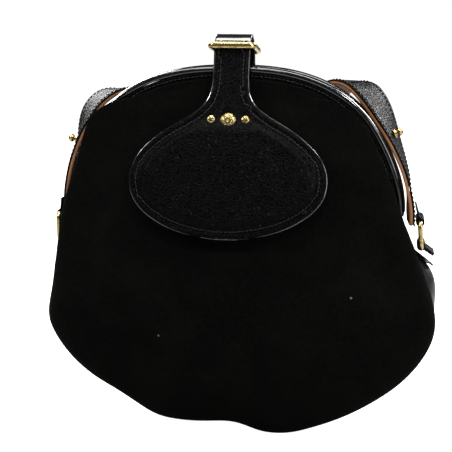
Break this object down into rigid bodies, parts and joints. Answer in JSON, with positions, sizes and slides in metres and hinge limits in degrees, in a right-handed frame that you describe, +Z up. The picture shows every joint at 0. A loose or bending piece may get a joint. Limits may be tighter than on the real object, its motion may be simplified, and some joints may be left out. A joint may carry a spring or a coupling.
{
  "type": "soft suede frame bag",
  "caption": "Soft suede handbag hung from an arched leather-bound frame, closed by a padded tab with a brass keeper ring and carried on a lined shoulder strap.",
  "frame": {"origin": "on the ground under the middle of the base", "axes": "+X to the right seen from the front, +Y to the back, +Z up; the front panel and the tab face -Y"},
  "size_m": [0.3097, 0.1577, 0.3115],
  "materials": {
    "suede": "matte black suede with a faint warm nap",
    "smooth_leather": "smooth black leather with a soft shine",
    "crackled_leather": "black leather with fine crackled wrinkles and small sharp highlights",
    "painted_edge": "black leather with glossy painted edges",
    "natural_leather": "natural tan vegetable-tanned leather, satin",
    "brass": "aged yellow brass, softly polished"
  },
  "bodies": {
    "root": {"front_panel": "suede", "back_panel": "suede", "gusset": "smooth_leather", "front_rim": "painted_edge", "back_rim": "painted_edge", "front_frame_band": "crackled_leather", "back_frame_band": "crackled_leather", "hinge_pin_left": "brass", "hinge_pin_right": "brass", "tab_backing": "painted_edge", "tab_face": "crackled_leather", "tab_ring": "brass", "tab_stud_center": "brass", "tab_stud_left": "brass", "tab_stud_right": "brass", "strap_outer": "crackled_leather", "strap_lining": "natural_leather", "strap_end_left": "crackled_leather", "strap_end_right": "crackled_leather", "side_ring_left": "brass", "side_ring_right": "brass", "ring_chape_left": "crackled_leather", "ring_chape_right": "crackled_leather", "gusset_patch_left": "crackled_leather", "gusset_patch_right": "crackled_leather", "ball_stud_left": "brass", "ball_stud_right": "brass"}
  },
  "joints": []
}
